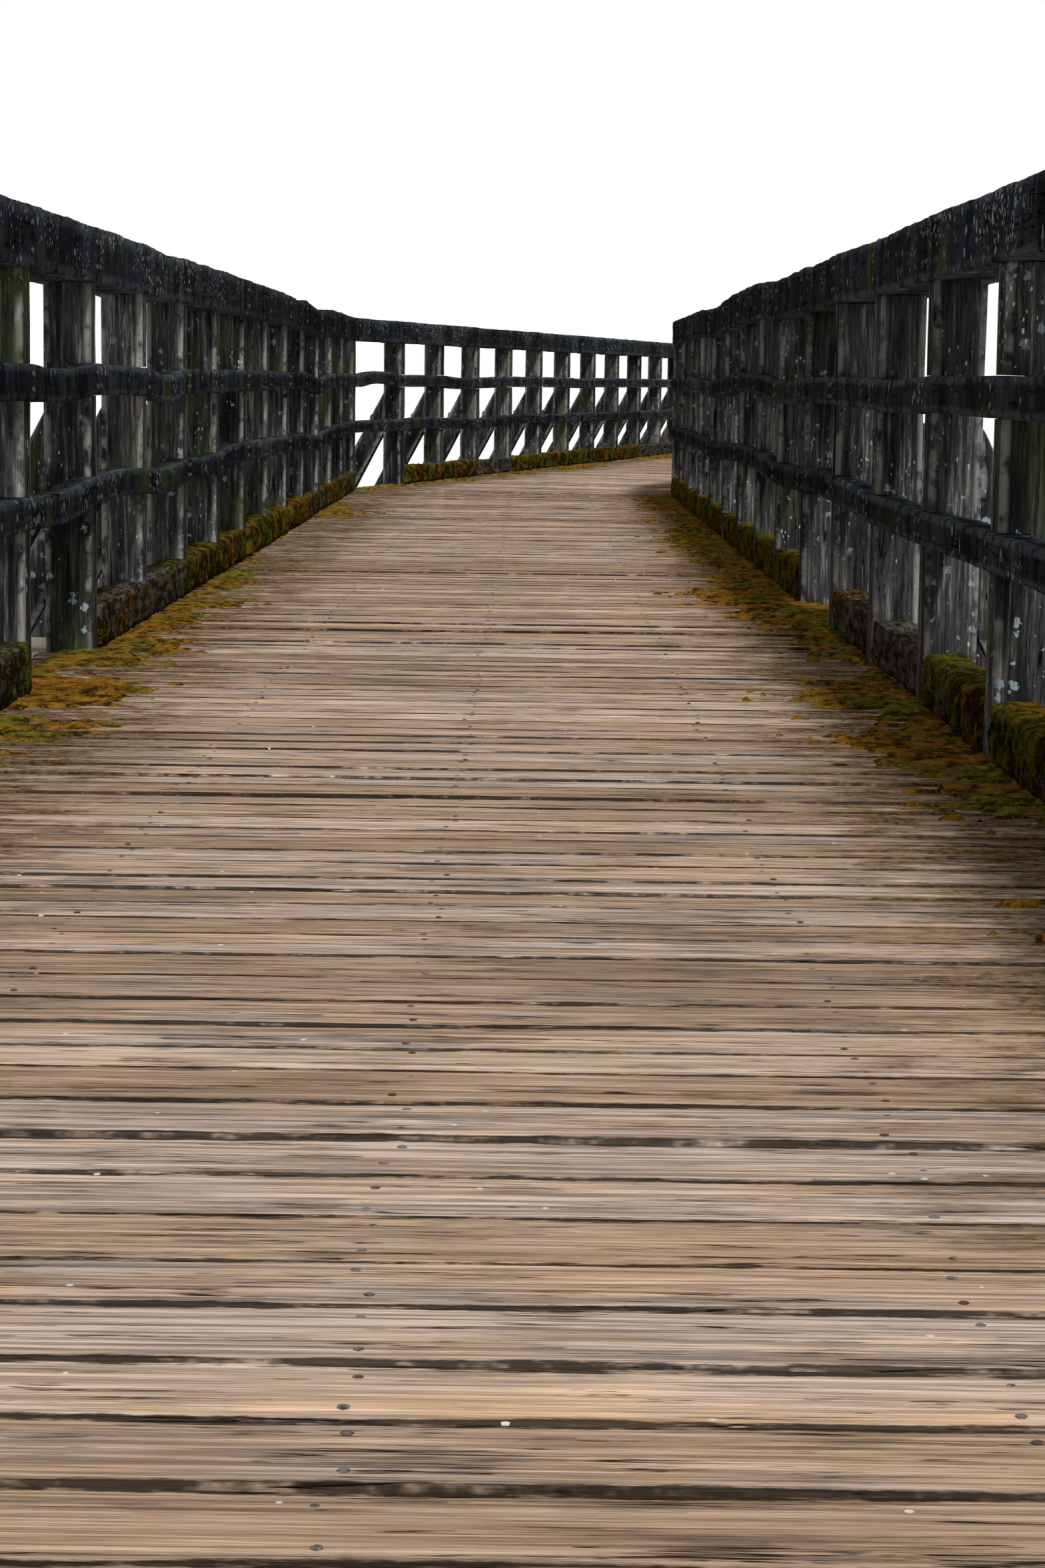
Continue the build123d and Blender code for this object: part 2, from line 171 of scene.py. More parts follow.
mounts = {mount["name"]: np.array(mount["pos_m"]) for mount in frame["record"]["mounts"]}
start, bend, far_end = (mounts[name] for name in ("near_sill", "bend_sill", "far_sill"))
near = Stretch(start, bend - start)
far = Stretch(bend, far_end - bend)
mitre = Stretch(bend, near.axes[1] + far.axes[1])
HALF_TURN = math.atan2(*(near.axes @ mitre.axes[1])[:2])
NEAR_LENGTH = np.linalg.norm(bend - start)
DECK_NODES = [f"deck_span_{number}" for number in range(1, 6)]
DECK_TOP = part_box(DECK_NODES[0])[1].z
DECK_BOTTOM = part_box(DECK_NODES[0])[0].z
BOX_LOW, BOX_HIGH = np.array(cad_box[0]), np.array(cad_box[1])


def stretch_of(node):
    """The stretch that a node belongs to."""
    if node in DECK_NODES:
        low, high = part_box(node)
        return near if (low.y + high.y) / 2 < bend[1] else far
    return near if node.startswith("near") else far


def railings():
    """Each line of railing with its stretch and its side of the walkway."""
    for place, stretch in (("near", near), ("far", far)):
        for hand, side in (("left", -1), ("right", 1)):
            yield f"{place}_{hand}", stretch, side


def solids(node):
    """The points of each separate solid of a node."""
    mesh = frame["nodes"][node].data
    points = np.empty(len(mesh.vertices) * 3)
    mesh.vertices.foreach_get("co", points)
    merged, index = np.unique(np.round(points.reshape(-1, 3), 5), axis=0, return_inverse=True)
    index = index.ravel()
    group = list(range(len(merged)))

    def top(i):
        while group[i] != i:
            group[i] = group[group[i]]
            i = group[i]
        return i

    for polygon in mesh.polygons:
        corners = [index[v] for v in polygon.vertices]
        for corner in corners[1:]:
            group[top(corner)] = top(corners[0])
    found = {}
    for i in range(len(merged)):
        found.setdefault(top(i), []).append(merged[i])
    return [np.array(found[key]) for key in sorted(found)]


def unit(vectors):
    """Vectors drawn to a length of one."""
    return vectors / np.maximum(np.linalg.norm(vectors, axis=-1)[..., None], LEAST_LENGTH)


def noise(points, scale, seed):
    """Smooth noise from -1 to 1 at each point."""
    p = points * np.asarray(scale, float) + 7.31 * seed + 500
    cell = np.floor(p).astype(np.int64)
    f = p - cell
    f = f * f * (3 - 2 * f)
    total = np.zeros(p.shape[:-1])
    for corner in np.ndindex(2, 2, 2):
        c = cell + np.array(corner)
        h = (c[..., 0] * 73856093) ^ (c[..., 1] * 19349663) ^ (c[..., 2] * 83492791)
        h = (h * 1103515245 + 12345) & 0x7FFFFFFF
        h = ((h ^ (h >> 13)) * 60493) & 0x7FFFFFFF
        weight = np.prod(np.where(corner, f, 1 - f), axis=-1)
        total += weight * ((h >> 8 & 0xFFFF) / 32767.5 - 1)
    return total


def step_up(value, low, high):
    """0 below low, 1 above high and a smooth step between."""
    share = np.clip((value - low) / (high - low), 0, 1)
    return share * share * (3 - 2 * share)


class Pile:
    """Gathers many timbers into one mesh with the attributes that their materials read."""

    layers = {"local": 3, "site": 3, "tone": 1, "edge": 1, "moss": 1, "lift": 1}

    def __init__(self):
        self.points, self.faces = [], []
        self.values = {key: [] for key in self.layers}
        self.count = 0

    def add(self, points, faces, **values):
        self.faces += [tuple(i + self.count for i in face) for face in faces]
        self.points.append(np.clip(points, BOX_LOW, BOX_HIGH))
        for key, size in self.layers.items():
            shape = (len(points), 3) if size == 3 else (len(points),)
            self.values[key].append(np.broadcast_to(values.get(key, 0.0), shape))
        self.count += len(points)

    def build(self, name, material, node, sharp=50):
        mesh = bpy.data.meshes.new(name)
        mesh.from_pydata(np.concatenate(self.points).tolist(), [], self.faces)
        for key, size in self.layers.items():
            layer = mesh.attributes.new(key, "FLOAT_VECTOR" if size == 3 else "FLOAT", "POINT")
            data = np.concatenate(self.values[key]).astype(np.float32).ravel()
            layer.data.foreach_set("vector" if size == 3 else "value", data)
        mesh.polygons.foreach_set("use_smooth", [True] * len(mesh.polygons))
        mesh.set_sharp_from_angle(angle=math.radians(sharp))
        mesh.materials.append(material)
        piece = bpy.data.objects.new(name, mesh)
        bpy.context.scene.collection.objects.link(piece)
        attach(piece, "root")
        if node:
            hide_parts(node)


def section_rings(corners, sides, along, spots, seed, bevel, cup):
    """The points round a timber's section, the way each faces and which lie on an edge, all chipped."""
    middle = corners.mean(1)
    rows, normals, edges = [], [], []
    for side in range(4):
        here, there = corners[:, side], corners[:, (side + 1) % 4]
        run = there - here
        length = np.linalg.norm(run, axis=1)[:, None]
        run = unit(run)
        outward = np.cross(run, along)
        flip = (((here + there) / 2 - middle) * outward).sum(1)
        outward = unit(outward * np.where(flip < 0, -1, 1)[:, None])
        back = unit(corners[:, side - 1] - here)
        chip = bevel * (1 + 0.8 * noise(spots, 6, seed + side) + 0.5 * noise(spots, 25, seed + side + 9))
        chip = np.minimum(np.maximum(chip, 0.2 * bevel), 0.3 * length[:, 0])[:, None]
        rows.append(here + (run + back) * 0.29 * chip)
        normals.append(outward - run)
        edges.append(np.ones(len(corners)))
        for strip in range(sides[side] + 1):
            share = strip / sides[side]
            dip = cup * (2 * share - 1) ** 2 if side == 2 else 0.0
            rows.append(here + run * (chip + (length - 2 * chip) * share) - outward * dip)
            normals.append(outward)
            edges.append(np.full(len(corners), 1.0 if strip in (0, sides[side]) else 0.0))
    return np.stack(rows, 1), unit(np.stack(normals, 1)), np.stack(edges, 1)


def side_faces(count, ring_size):
    """The faces between neighbouring rings."""
    faces = []
    for base in range(0, (count - 1) * ring_size, ring_size):
        for i in range(ring_size):
            j = (i + 1) % ring_size
            faces.append((base + i, base + j, base + ring_size + j, base + ring_size + i))
    return faces


def timber(pile, stretch, corners, sides, rng, bevel, wear, grain, moss=None, cup=0.0):
    """Adds one worn timber. corners holds, station by station, its four corners in the stretch's own
    frame, in order round the section, and sides says how many strips each of the four sides has."""
    corners = np.asarray(corners, float)
    seed = rng.random() * 50
    offset = np.array([rng.uniform(-40, 40) for _ in range(3)])
    middle = corners.mean(1)
    along = middle[-1] - middle[0]
    along = np.broadcast_to(along / np.linalg.norm(along), middle.shape)
    rings, normals, edges = section_rings(corners, sides, along, middle + offset, seed, bevel, cup)
    site = rings.reshape(-1, 3)
    spots = rings + offset
    depth = wear * noise(spots, grain, seed) + 0.5 * wear * noise(spots, np.array(grain) * 3.1, seed + 3)
    growth = lift = np.zeros(depth.shape)
    if moss is not None:
        growth = moss(rings, normals)
        lift = 0.45 + 0.55 * noise(rings, (30, 30, 20), 5) + 0.45 * noise(rings, 70, 6)
        lift = np.clip(lift, 0, 1.2)
        depth = depth + growth * MOSS_COAT * lift
    rings = rings + normals * depth[..., None]
    for end in (0, -1):
        centre = rings[end].mean(0)
        away = np.maximum(np.linalg.norm(rings[end] - centre, axis=1), LEAST_LENGTH)
        rings[end] += (centre - rings[end]) * np.minimum(0.6 * bevel / away, 0.4)[:, None]
    count, ring_size = rings.shape[:2]
    ends = (range(ring_size - 1, -1, -1), range((count - 1) * ring_size, count * ring_size))
    faces = side_faces(count, ring_size) + [tuple(end) for end in ends]
    ring = rings[0] - rings[0].mean(0)
    if (np.cross(ring, np.roll(ring, -1, 0)) @ along[0]).sum() > 0:
        faces = [tuple(reversed(face)) for face in faces]
    flat = rings.reshape(-1, 3)
    pile.add(
        stretch.world(flat), faces, local=flat + offset, site=site, tone=rng.random(),
        edge=edges.reshape(-1), moss=growth.reshape(-1), lift=lift.reshape(-1),
    )


def stations(low, high, step, bevel, extra=()):
    """Places along a timber, close to its ends and evenly between, with the extra ones that it needs."""
    count = max(2, int(round((high - low) / step)))
    places = list(np.linspace(low, high, count + 1)) + [low + bevel, high - bevel] + list(extra)
    places = sorted(p for p in places if low <= p <= high)
    kept = [places[0]]
    for place in places[1:]:
        if place - kept[-1] > SAME_STATION:
            kept.append(place)
    return np.array(kept)


def face_profile(points, main, depth):
    """The lowest and highest depth at each place along main where a face has a pair of points."""
    low, high = {}, {}
    for place, value in zip(np.round(points[:, main], 4), points[:, depth]):
        low[place] = min(value, low.get(place, value))
        high[place] = max(value, high.get(place, value))
    kept = sorted(place for place in low if high[place] - low[place] > LEAST_DEPTH)
    return np.array(kept), np.array([low[k] for k in kept]), np.array([high[k] for k in kept])


def beam_corners(points, main, side, depth, step, bevel):
    """The corners along a beam: side is the axis between its two flat faces."""
    faces = []
    for limit in (points[:, side].min(), points[:, side].max()):
        on_face = points[np.abs(points[:, side] - limit) < SAME_FACE]
        faces.append((limit, *face_profile(on_face, main, depth)))
    low = np.mean([face[1][0] for face in faces])
    high = np.mean([face[1][-1] for face in faces])
    bends = faces[0][1][1:-1] if len(faces[0][1]) < MOST_BENDS else ()
    share = np.clip((stations(low, high, step, bevel, bends) - low) / (high - low), 0, 1)
    rows = []
    for limit, places, lows, highs in faces:
        spots = places[0] + (places[-1] - places[0]) * share
        for values in (np.interp(spots, places, lows), np.interp(spots, places, highs)):
            row = np.empty((len(share), 3))
            row[:, main], row[:, side], row[:, depth] = spots, limit, values
            rows.append(row)
    return np.stack([rows[0], rows[1], rows[3], rows[2]], 1)


def own_stretch(node, points):
    """Pieces on the mitre through the bend are square to it, and all others to their stretch."""
    away = abs(mitre.local(points)[:, 1].mean())
    turned = any(word in node for word in ("posts", "braces", "beams", "caps", "sills"))
    return mitre if turned and away < NEAR_MITRE else stretch_of(node)


def hand_of(points):
    """The side of the walkway that points lie on: -1 on the left and 1 on the right."""
    return 1 if points[:, 0].mean() > 0 else -1


def section(*corners):
    """A timber's corners, station by station, from each one's places across, along and up."""
    return np.stack([np.stack(np.broadcast_arrays(*corner), 1) for corner in corners], 1)


def upright(points, heights, inner, outer):
    """Corners of an upright timber beside the walkway, as wide along the bridge as its points."""
    side = hand_of(points)
    front, back = points[:, 1].min(), points[:, 1].max()
    inner, outer = side * inner, side * outer
    return section(
        (inner, front, heights), (inner, back, heights), (outer, back, heights), (outer, front, heights)
    )


def dress(node, material, corners_of, sides, bevel, wear, grain, moss=None):
    """Every solid of a node as a worn timber, all in one piece. corners_of finds a solid's corners."""
    pile = Pile()
    rng = random.Random(node)
    for points in solids(node):
        stretch = own_stretch(node, points)
        timber(pile, stretch, corners_of(stretch.local(points)), sides, rng, bevel, wear, grain, moss)
    pile.build(node + "_timber", material, node)


def plain_beams(node, main, side, depth, strips, step):
    """Beams below the deck."""
    grain = [30.0, 30.0, 30.0]
    grain[main] = 1.6
    corners_of = partial(beam_corners, main=main, side=side, depth=depth, step=step, bevel=0.007)
    dress(node, structure_wood[main], corners_of, (strips,) * 4, 0.007, 0.002, grain)


def rails(node, sides, step, wear, moss=None):
    """One line of butted rails, worn along their edges."""
    corners_of = partial(beam_corners, main=1, side=0, depth=2, step=step, bevel=0.008)
    dress(node, rail_wood, corners_of, sides, 0.007, wear, (18, 4, 18), moss)


def crusted_top(rings, normals):
    """Lichen and moss that roughen the top of a handrail."""
    crust = step_up(noise(rings, 9, 21) + 0.5 * noise(rings, 30, 22), 0.0, 0.7)
    return crust * step_up(normals[..., 2], 0.3, 0.9) * 0.25


def post_corners(points):
    """The corners of a railing post, with the notches that hold the two lower rails."""
    levels = np.unique(np.round(points[:, 2], 4))
    reach = np.unique(np.round(np.abs(points[:, 0]), 4))
    inner, notch, outer = reach[0], reach[1], reach[-1]
    steps = [level + shift for level in levels[1:-1] for shift in (-NOTCH_EDGE, NOTCH_EDGE)]
    heights = stations(levels[0], levels[-1], 0.06, 0.008, steps)
    cut = np.zeros(len(heights), bool)
    for low, high in zip(levels[1:-1:2], levels[2:-1:2]):
        cut |= (heights > low) & (heights < high)
    return upright(points, heights, np.where(cut, notch, inner), outer)


def brace_outline(points):
    """A brace seen along the bridge: its foot and heel, its toe, its contact and face, and its tip."""
    outline = sorted({(round(float(z), 4), round(abs(float(x)), 4)) for x, _, z in points})
    (foot, heel), (_, toe), (contact, face), (tip, _) = outline
    return foot, heel, toe, contact, face, tip


def brace_corners(points):
    """The corners of a raking brace between a post's outer face and the end of a cross-beam."""
    foot, heel, toe, contact, face, tip = brace_outline(points)
    heights = stations(foot, tip - 0.006, 0.07, 0.006, [contact])
    inner = np.interp(heights, [foot, contact, tip], [heel, face, face])
    return upright(points, heights, inner, np.interp(heights, [foot, tip], [toe, face]))


def mossiness(points, amount):
    """How much moss a place on a kerb carries: it comes and goes along the bridge."""
    spread = noise(points, (1.5, 0.55, 1.5), 11) + 0.6 * noise(points, 6, 12) + 0.6 * noise(points, 19, 13)
    return np.clip(0.6 + 0.55 * spread + amount, 0, 1)


def kerb_notch(points):
    """How far across a kerb's notch for a post lies, and where along the kerb its shoulders are."""
    reach = np.abs(points[:, 0])
    inner = reach.min()
    levels = np.unique(np.round(reach, 4))
    levels = levels[(levels > inner + KERB_NOTCH[0]) & (levels < inner + KERB_NOTCH[1])]
    levels = levels[levels != round(inner + KERB_EDGE, 4)]
    if not len(levels):
        return inner, []
    at_notch = np.abs(reach - levels[0]) < SAME_PLACE
    return levels[0], np.unique(np.round(points[at_notch, 1], 4))


def kerb_corners(points):
    """The corners of a kerb timber, let in round the posts."""
    side = hand_of(points)
    low, high = points.min(0), points.max(0)
    inner, outer = np.abs(points[:, 0]).min(), np.abs(points[:, 0]).max()
    notch, shoulders = kerb_notch(points)
    steps = [place + shift for place in shoulders for shift in (-NOTCH_EDGE, NOTCH_EDGE)]
    places = stations(low[1], high[1], KERB_STEP, 0.01, steps)
    back = np.full(len(places), outer)
    for begin, end in zip(shoulders[::2], shoulders[1::2]):
        back = np.where((places >= begin - SAME_PLACE) & (places <= end + SAME_PLACE), notch, back)
    front, back = side * inner, side * back
    return section(
        (front, places, low[2]), (front, places, high[2]), (back, places, high[2]), (back, places, low[2])
    )


def kerb_coat(railing):
    """The moss on the kerbs of one railing, by the bay where each kerb starts."""
    usual, by_bay, _, _ = MOSS[railing]

    def coat(rings, normals):
        side = np.sign(rings[..., 0].mean())
        bay = int(rings[..., 1].min() / BAY + 0.3)
        facing = step_up(normals[..., 2] - side * normals[..., 0], -0.4, 0.5)
        return mossiness(rings, by_bay.get(bay, usual)) * facing

    return coat


def post_holes(stretch):
    """The holes for the posts: how far across each starts, its middle along, and half its length."""
    holes = []
    for railing, _, _ in railings():
        for points in solids(railing + "_posts"):
            p = stretch.local(points)
            inner = p[np.abs(p[:, 0]).argmin(), 0]
            half = (p[:, 1].max() - p[:, 1].min()) / 2 + POST_HOLE
            holes.append((inner - np.sign(inner) * POST_HOLE, p[:, 1].mean(), half))
    return holes


def next_board(first, stop, half, rng):
    """A board's far edge, its two ends, how far it is skewed, and where the next board starts."""
    width = rng.uniform(BOARD_NARROW, BOARD_WIDE)
    gap = BOARD_GAP * rng.uniform(0.5, 1.8)
    if rng.random() < WIDE_GAP_SHARE:
        gap = WIDE_GAP * rng.uniform(0.6, 1.2)
    last = min(first + width, stop)
    left_end = -half + rng.uniform(0, BOARD_END_WANDER)
    right_end = half - rng.uniform(0, BOARD_END_WANDER)
    skew = rng.uniform(-BOARD_SKEW, BOARD_SKEW)
    return last, (left_end, right_end), skew, last + gap


def board_outline(first, last, ends, skew, step, beside):
    """Places across a board, with its front and back edge there, let in round the posts beside it."""
    edges = [across + shift for across, _, _ in beside for shift in (-NOTCH_EDGE, NOTCH_EDGE)]
    spots = stations(*ends, step, BOARD_EDGE, edges)
    front = np.full(len(spots), first) + skew * spots
    back = np.full(len(spots), last) + skew * spots
    for across, along, half in beside:
        beyond = (spots > across) if across > 0 else (spots < across)
        if along - half - first > last - (along + half):
            back = np.where(beyond, np.minimum(back, along - half), back)
        else:
            front = np.where(beyond, np.maximum(front, along + half), front)
    return spots, front, back


def widest_run(spots, front, back):
    """The longest unbroken part of a board that is wide enough to be one."""
    keep = np.flatnonzero(back - front > NARROWEST_BOARD)
    keep = max(np.split(keep, np.flatnonzero(np.diff(keep) > 1) + 1), key=len)
    return spots[keep], front[keep], back[keep]


def deck(node, material):
    """The cross planks of one span, let in round the posts and cut along the mitre at the bend."""
    pile = Pile()
    rng = random.Random(node)
    stretch = stretch_of(node)
    holes = post_holes(stretch)
    p = stretch.local(solids(node)[0])
    half = np.abs(p[:, 0]).max()
    inside = p[np.abs(p[:, 0]) < half - 0.05]
    low, high = inside[:, 1].min(), inside[:, 1].max()
    mitred_high = stretch is near and abs(high - NEAR_LENGTH) < MITRED_END
    mitred_low = stretch is far and abs(low) < MITRED_END
    slope = math.tan(HALF_TURN)
    place = low - PAST_MITRE * mitred_low
    stop = high + PAST_MITRE * mitred_high
    laid = []
    while place < stop - LAST_BOARD:
        first = place
        last, ends, skew, place = next_board(first, stop, half, rng)
        beside = [hole for hole in holes if hole[1] - hole[2] < last and hole[1] + hole[2] > first]
        on_mitre = (mitred_high and last > NEAR_LENGTH - NEAR_MITRE) or (mitred_low and first < NEAR_MITRE)
        step = MITRED_BOARD_STEP if on_mitre else BOARD_STEP
        spots, front, back = board_outline(first, last, ends, skew, step, beside)
        if mitred_high:
            back = np.minimum(back, NEAR_LENGTH - spots * slope - BOARD_GAP / 2)
        if mitred_low:
            front = np.maximum(front, spots * slope + BOARD_GAP / 2)
        spots, front, back = widest_run(spots, front, back)
        if len(spots) < 3:
            continue
        top = DECK_TOP - BOARD_TOP_DROP + rng.uniform(*BOARD_HEIGHTS)
        tilt = rng.uniform(-BOARD_TILT, BOARD_TILT)
        bottom = DECK_BOTTOM + BOARD_BOTTOM_DROP
        corners = section(
            (spots, front, bottom), (spots, back, bottom),
            (spots, back, top + tilt), (spots, front, top - tilt),
        )
        timber(pile, stretch, corners, (1, 1, 6, 1), rng, **BOARD_SHAPE)
        laid.append((spots[0], spots[-1], front.mean(), back.mean(), top))
    pile.build(node + "_planks", material, node)
    return laid


def moss_field(across_from_kerb, along, seed, richness):
    """Moss beside a kerb, thickest against it and broken up towards the middle of the deck."""
    place = np.stack([across_from_kerb, along, 0 * along], -1)
    patches = noise(place, (2.2, 3.4, 1), seed) + 0.6 * noise(place, (7, 13, 1), seed + 1)
    crumbs = 0.75 * noise(place, (28, 36, 1), seed + 2)
    drift = 0.6 * noise(place, (0.01, 0.5, 1), seed + 3)
    return richness - 3.6 * across_from_kerb + 0.55 * patches + crumbs + drift


def moss_limits(stretch, side, kerb_face):
    """Where a strip of moss starts and ends: inside the deck's end, and at the mitre through the bend."""
    decks = [points for node in DECK_NODES if stretch_of(node) is stretch for points in solids(node)]
    along = stretch.local(np.concatenate(decks))[:, 1]
    at_mitre = side * kerb_face * math.tan(HALF_TURN)
    if stretch is near:
        return along.min() + MOSS_FROM_END, NEAR_LENGTH - at_mitre - MOSS_FROM_BEND
    return at_mitre + MOSS_FROM_BEND, along.max() - MOSS_FROM_END


def grid_faces(alive):
    """The corners of a grid whose cells live, the faces over them, and which corners lie on a rim."""
    index = np.arange(alive.size).reshape(alive.shape)
    i, j = np.nonzero(alive[:-1, :-1] & alive[1:, :-1] & alive[:-1, 1:] & alive[1:, 1:])
    quads = np.stack([index[i, j], index[i + 1, j], index[i + 1, j + 1], index[i, j + 1]], 1)
    kept, packed = np.unique(quads, return_inverse=True)
    cells = np.zeros(alive.shape, int)
    for di, dj in ((0, 0), (1, 0), (0, 1), (1, 1)):
        np.add.at(cells, (i + di, j + dj), 1)
    return kept, packed.reshape(-1, 4), cells.reshape(-1)[kept] < 4


def moss_strip(railing, stretch, side, joints, material):
    """Low cushions of moss on the deck along one kerb, and over its place where the kerb is lost."""
    _, _, richness, seed = MOSS[railing]
    kerb_points = [stretch.local(points) for points in solids(railing + "_kerbs")]
    kerb_face = min(np.abs(points[:, 0]).min() for points in kerb_points)
    spots = np.arange(-MOSS_BEHIND, MOSS_REACH, MOSS_CELL)
    places = np.arange(*moss_limits(stretch, side, kerb_face), MOSS_CELL)
    across, along = np.meshgrid(spots, places, indexing="ij")
    joints = np.sort(joints)
    after = np.clip(np.searchsorted(joints, places), 1, len(joints) - 1)
    to_joint = np.minimum(np.abs(places - joints[after - 1]), np.abs(places - joints[after]))
    growth = moss_field(across, along, seed, richness) - 0.45 * step_up(0.016 - to_joint, 0, 0.012)
    flat = np.stack([across, along, 0 * across], -1)
    lift = 0.55 + 0.45 * noise(flat, (34, 40, 1), seed + 5) + 0.35 * noise(flat, (66, 66, 1), seed + 6)
    lift = np.clip(lift, 0.05, 1.2)
    height = DECK_TOP - MOSS_BED + MOSS_THICK * np.clip(growth * 2.2, -0.4, 1) * (0.4 + 0.8 * lift)
    x = side * (kerb_face + KERB_EDGE - across) + MOSS_WANDER * noise(flat, (60, 60, 1), seed + 7)
    y = along + MOSS_WANDER * noise(flat, (60, 60, 1), seed + 8)
    no_kerb = np.ones(len(places), bool)
    for points in kerb_points:
        begin, end = points[:, 1].min(), points[:, 1].max()
        no_kerb &= (places < begin - MOSS_CELL) | (places > end + MOSS_CELL)
    alive = (growth > -0.02) & ((across > -0.001) | no_kerb)
    kept, quads, on_rim = grid_faces(alive)
    if side > 0:
        quads = quads[:, ::-1]
    points = np.stack([x, y, height], -1).reshape(-1, 3)[kept]
    points[on_rim, 2] = DECK_TOP - MOSS_RIM
    pile = Pile()
    faces = [tuple(quad) for quad in quads.tolist()]
    pile.add(stretch.world(points), faces, site=points, lift=lift.reshape(-1)[kept])
    pile.build(railing + "_moss", material, None, 180)


def studs(name, places, radius, height, count, material):
    """Round or six-sided heads, each given by a place and the way that it faces."""
    pile = Pile()
    rng = random.Random(name)
    for place, facing in places:
        facing = unit(np.array(facing, float))
        first = unit(np.cross(facing, [0.31, 0.17, 0.93]))
        second = np.cross(facing, first)
        size = radius * rng.uniform(0.92, 1.08)
        spin = rng.uniform(0, 1)
        points = []
        for reach, lift in ((1.0, -0.15), (1.0, 0.55), (0.72, 1.0)):
            for k in range(count):
                angle = spin + 2 * math.pi * k / count
                around = math.cos(angle) * first + math.sin(angle) * second
                points.append(place + size * reach * around + facing * height * lift)
        points.append(place + facing * height * 1.05)
        faces = side_faces(3, count)
        for k in range(count):
            faces.append((2 * count + k, 2 * count + (k + 1) % count, 3 * count))
        points = np.array(points)
        pile.add(points, faces, local=points, tone=rng.random())
    pile.build(name, material, None, 30)


class Nodes:
    """The node tree of a material or a world, emptied, with a short call for each new node."""

    def __init__(self, owner):
        owner.use_nodes = True
        self.tree = owner.node_tree
        self.tree.nodes.clear()

    def put(self, socket, value):
        if isinstance(value, bpy.types.NodeSocket):
            self.tree.links.new(value, socket)
        elif value is not None:
            socket.default_value = value

    def node(self, kind, *values, operation=None, **named):
        """A new node with its first inputs filled in order, and others by their names."""
        node = self.tree.nodes.new("ShaderNode" + kind)
        if operation:
            node.operation = operation
        for socket, value in zip(node.inputs, values):
            self.put(socket, value)
        for name, value in named.items():
            self.put(node.inputs[name], value)
        return node


class Shader(Nodes):
    """A material's nodes, with short calls for what the materials here share."""

    def __init__(self, name):
        self.material = bpy.data.materials.new(name)
        super().__init__(self.material)

    def attribute(self, name):
        """A value that the mesh carries at each point."""
        node = self.node("Attribute")
        node.attribute_name = name
        return node.outputs["Vector" if Pile.layers[name] == 3 else "Fac"]

    def split(self, vector):
        return self.node("SeparateXYZ", vector).outputs

    def stretch(self, vector, scale):
        return self.node("VectorMath", vector, scale, operation="MULTIPLY").outputs[0]

    def math(self, operation, a, b=None):
        return self.node("Math", a, b, operation=operation).outputs[0]

    def add(self, a, b):
        return self.math("ADD", a, b)

    def times(self, a, b):
        return self.math("MULTIPLY", a, b)

    def total(self, *parts):
        """The sum of values, each times its own weight."""
        result, *others = [self.times(value, weight) for value, weight in parts]
        for term in others:
            result = self.add(result, term)
        return result

    def swing(self, value, amount):
        """A value from 0 to 1 as a swing to both sides of 0."""
        return self.times(self.add(value, -0.5), amount)

    def off_middle(self, value):
        """How far a value lies from one half."""
        return self.math("ABSOLUTE", self.add(value, -0.5))

    def noise(self, vector, scale=1.0, detail=3, rough=0.55):
        return self.node("TexNoise", vector, None, scale, detail, rough).outputs["Fac"]

    def streaks(self, vector, scale, detail, rough):
        """Noise with its own scale each way, so that it runs along the grain."""
        return self.noise(self.stretch(vector, scale), 1.0, detail, rough)

    def cells(self, vector, scale):
        """How far a place is from the middle of its cell, and a value from 0 to 1 for the cell."""
        cell = self.node("TexVoronoi", vector, None, scale)
        return cell.outputs["Distance"], self.node("SeparateColor", cell.outputs["Color"]).outputs[0]

    def between(self, value, low, high):
        """0 below low, 1 above high and a smooth step between."""
        node = self.node("MapRange", value, low, high)
        node.interpolation_type = "SMOOTHSTEP"
        return node.outputs[0]

    def mix(self, factor, a, b):
        node = self.node("Mix", factor)
        node.data_type = "RGBA"
        for socket, value in ((node.inputs[6], a), (node.inputs[7], b)):
            self.put(socket, (*value, 1) if isinstance(value, tuple) else value)
        return node.outputs[2]

    def cover(self, colour, mask, amount, other):
        """Lays another colour over a colour where the mask says, as thick as the amount."""
        return self.mix(self.times(mask, amount), colour, other)

    def shade(self, colour, amount):
        return self.node("VectorMath", colour, None, None, amount, operation="SCALE").outputs[0]

    def vary(self, colour, value, least, more):
        """Shades a colour by a value: by least at 0, and by least and more at 1."""
        return self.shade(colour, self.add(least, self.times(value, more)))

    def finish(self, colour, roughness, height, depth, metallic=0.0, gloss=0.0):
        bump = self.node("Bump", Strength=1.0, Distance=depth, Height=height)
        looks = {"Base Color": colour, "Specular IOR Level": gloss, "Normal": bump.outputs[0]}
        surface = self.node("BsdfPrincipled", Roughness=roughness, Metallic=metallic, **looks)
        self.node("OutputMaterial", surface.outputs[0])
        return self.material


def lichen(s, place, size, share):
    """Rosettes with ragged rims, on a share of the cells, as a mask."""
    distance, pick = s.cells(place, 1 / size)
    radius = s.times(s.between(pick, 1 - share, 1), 0.40)
    rim = s.add(distance, s.swing(s.noise(place, 110, 1), 0.7))
    return s.between(s.math("SUBTRACT", radius, rim), 0.0, 0.05)


